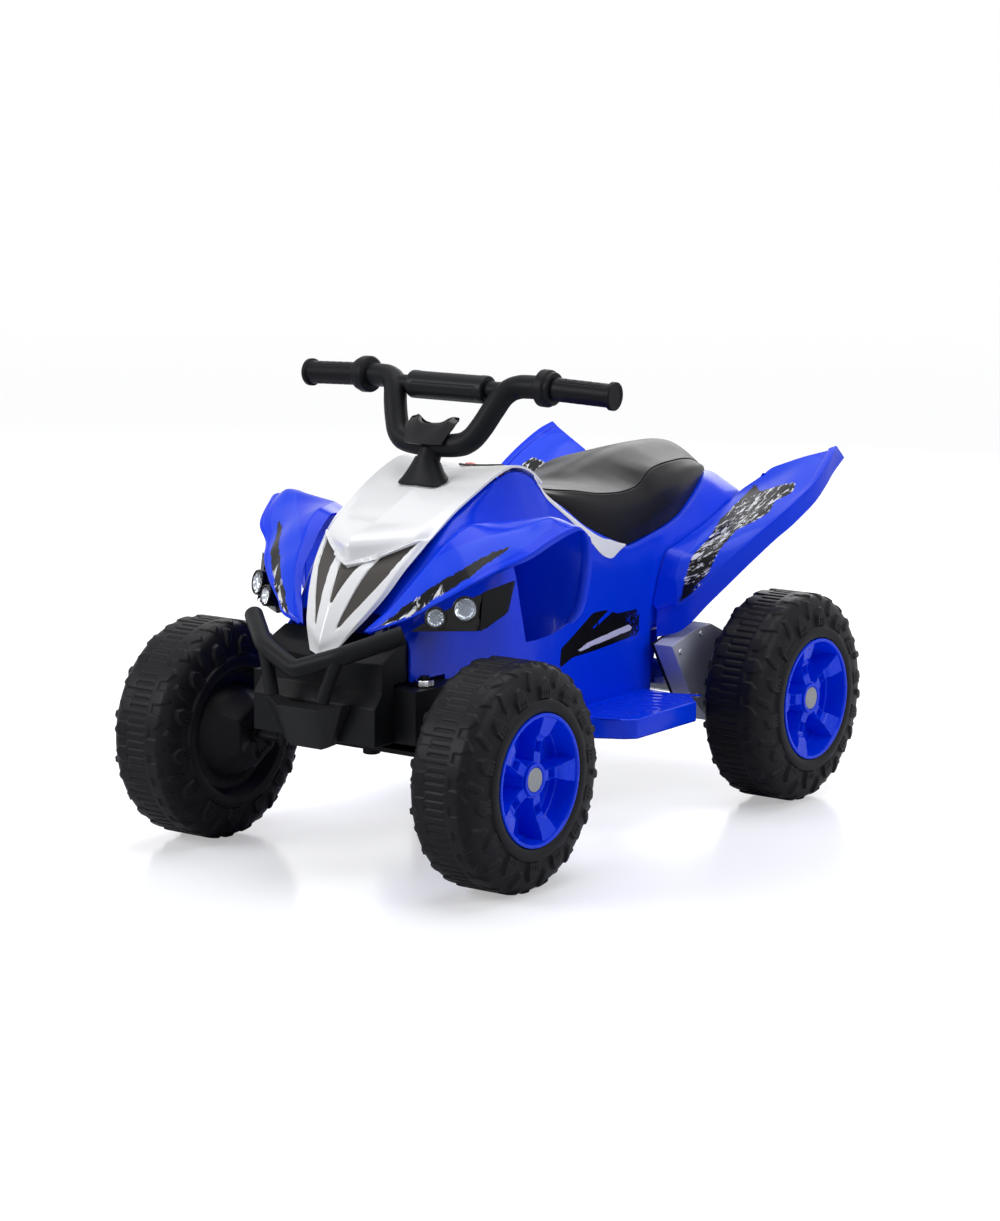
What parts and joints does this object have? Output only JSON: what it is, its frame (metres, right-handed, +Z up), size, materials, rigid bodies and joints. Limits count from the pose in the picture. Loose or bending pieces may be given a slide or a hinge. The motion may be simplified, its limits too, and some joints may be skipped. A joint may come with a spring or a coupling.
{
  "type": "ride-on electric quad",
  "caption": "Child's battery ride-on quad: blue and white moulded body, black seat, handlebar, tube bumper, round headlamps, footboards and chunky wheels.",
  "frame": {"origin": "on the floor, under the middle of the quad's bounding box", "axes": "+Z up, front towards -Y, the rider's left side at +X"},
  "size_m": [0.4772, 0.746, 0.4869],
  "materials": {
    "blue_shell": "moulded blue body plastic, glossy",
    "white_shell": "moulded white cowl plastic, glossy",
    "black_frame": "black textured plastic",
    "seat_plastic": "satin black moulded seat",
    "grey_insert": "dark grey fine-textured insert",
    "wheel_plastic": "black blow-moulded wheel plastic",
    "rim_blue": "blue moulded rim",
    "cap_grey": "grey domed cap",
    "gearbox_grey": "pale grey gearbox plastic",
    "lens_clear": "clear faceted lamp lens",
    "steel": "zinc-plated steel",
    "gear_plastic": "natural nylon",
    "switch_red": "red switch plastic",
    "battery_case": "battery case"
  },
  "bodies": {
    "chassis": {"battery": "battery_case", "body_shell": "blue_shell", "charge_socket": "black_frame", "chassis_tray": "black_frame", "control_box": "battery_case", "drive_motor": "steel", "footboard_left": "blue_shell", "footboard_right": "blue_shell", "front_axle_beam": "black_frame", "front_bumper": "black_frame", "front_fascia": "black_frame", "front_fender_left": "blue_shell", "front_fender_right": "blue_shell", "gearbox_base": "gearbox_grey", "gearbox_cover": "gearbox_grey", "grille_center": "grey_insert", "grille_left": "grey_insert", "grille_right": "grey_insert", "headlight_housing_left": "black_frame", "headlight_housing_right": "black_frame", "headlight_lens_inner_left": "lens_clear", "headlight_lens_inner_right": "lens_clear", "headlight_lens_outer_left": "lens_clear", "headlight_lens_outer_right": "lens_clear", "nose_cowl": "white_shell", "rear_axle": "steel", "rear_fender_left": "blue_shell", "rear_fender_right": "blue_shell", "seat_hinge_pin": "steel", "skid_plate": "black_frame", "steering_boot": "black_frame"},
    "steering": {"handlebar": "black_frame", "crossbar_pad": "black_frame", "grip_left": "black_frame", "grip_right": "black_frame", "bar_shield": "black_frame", "steering_column": "steel", "steering_crank": "black_frame"},
    "link": {"steering_link": "black_frame"},
    "knuckle_left": {"steering_knuckle_left": "steel"},
    "knuckle_right": {"steering_knuckle_right": "steel"},
    "motor_shaft": {"motor_pinion": "gear_plastic"},
    "seat": {"seat_cover": "seat_plastic", "seat_base": "black_frame"},
    "rocker": {"rocker_switch": "switch_red"},
    "horn": {"horn_button": "switch_red"},
    "pedal": {"foot_pedal": "black_frame"},
    "wheel_front_left": {"tyre_front_left": "wheel_plastic", "rim_front_left": "rim_blue", "hub_cap_front_left": "cap_grey"},
    "wheel_front_right": {"tyre_front_right": "wheel_plastic", "rim_front_right": "rim_blue", "hub_cap_front_right": "cap_grey"},
    "wheel_rear_left": {"tyre_rear_left": "wheel_plastic", "rim_rear_left": "rim_blue", "hub_cap_rear_left": "cap_grey", "drive_gear": "gear_plastic"},
    "wheel_rear_right": {"tyre_rear_right": "wheel_plastic", "rim_rear_right": "rim_blue", "hub_cap_rear_right": "cap_grey"}
  },
  "joints": [
    {"name": "steering_turn", "type": "hinge", "parent": "chassis", "child": "steering", "pos_m": [0, -0.129, 0.406], "axis": [0, 0.4226, 0.9063], "range_deg": [-20, 20]},
    {"name": "link_slide", "type": "slide", "parent": "chassis", "child": "link", "axis": [-1, 0, 0], "range_m": [-0.0104, 0.0104]},
    {"name": "knuckle_left_turn", "type": "hinge", "parent": "chassis", "child": "knuckle_left", "pos_m": [0.09, -0.26, 0.113], "axis": [0, 0, 1], "range_deg": [-19.6, 19.6]},
    {"name": "knuckle_right_turn", "type": "hinge", "parent": "chassis", "child": "knuckle_right", "pos_m": [-0.09, -0.26, 0.113], "axis": [0, 0, 1], "range_deg": [-19.6, 19.6]},
    {"name": "wheel_front_left_spin", "type": "hinge", "parent": "knuckle_left", "child": "wheel_front_left", "pos_m": [0.1875, -0.26, 0.113], "axis": [1, 0, 0], "continuous": true},
    {"name": "wheel_front_right_spin", "type": "hinge", "parent": "knuckle_right", "child": "wheel_front_right", "pos_m": [-0.1875, -0.26, 0.113], "axis": [1, 0, 0], "continuous": true},
    {"name": "wheel_rear_left_spin", "type": "hinge", "parent": "chassis", "child": "wheel_rear_left", "pos_m": [0.196, 0.243, 0.113], "axis": [1, 0, 0], "continuous": true},
    {"name": "wheel_rear_right_spin", "type": "hinge", "parent": "chassis", "child": "wheel_rear_right", "pos_m": [-0.196, 0.243, 0.113], "axis": [1, 0, 0], "continuous": true},
    {"name": "motor_spin", "type": "hinge", "parent": "chassis", "child": "motor_shaft", "pos_m": [0.1, 0.205, 0.12549], "axis": [1, 0, 0], "continuous": true},
    {"name": "seat_lift", "type": "hinge", "parent": "chassis", "child": "seat", "pos_m": [0, -0.048, 0.3605], "axis": [1, 0, 0], "range_deg": [0, 60]},
    {"name": "rocker_tilt", "type": "hinge", "parent": "chassis", "child": "rocker", "pos_m": [0.038, -0.065, 0.3741], "axis": [1, 0, 0], "range_deg": [0, 11]},
    {"name": "horn_press", "type": "slide", "parent": "chassis", "child": "horn", "axis": [0, 0, -1], "range_m": [0, 0.0015], "stiffness_N_per_m": 300, "springref_m": -0.001},
    {"name": "pedal_press", "type": "hinge", "parent": "chassis", "child": "pedal", "pos_m": [-0.132, 0.058, 0.1265], "axis": [1, 0, 0], "range_deg": [0, 10], "stiffness_Nm_per_rad": 0.5, "springref_deg": -11.46}
  ],
  "couplings": [
    {"joint": "link_slide", "follows": "steering_turn", "m_per_rad": 0.02939},
    {"joint": "knuckle_left_turn", "follows": "steering_turn", "ratio": 0.967},
    {"joint": "knuckle_right_turn", "follows": "steering_turn", "ratio": 0.967},
    {"joint": "motor_spin", "follows": "wheel_rear_left_spin", "ratio": -3}
  ]
}
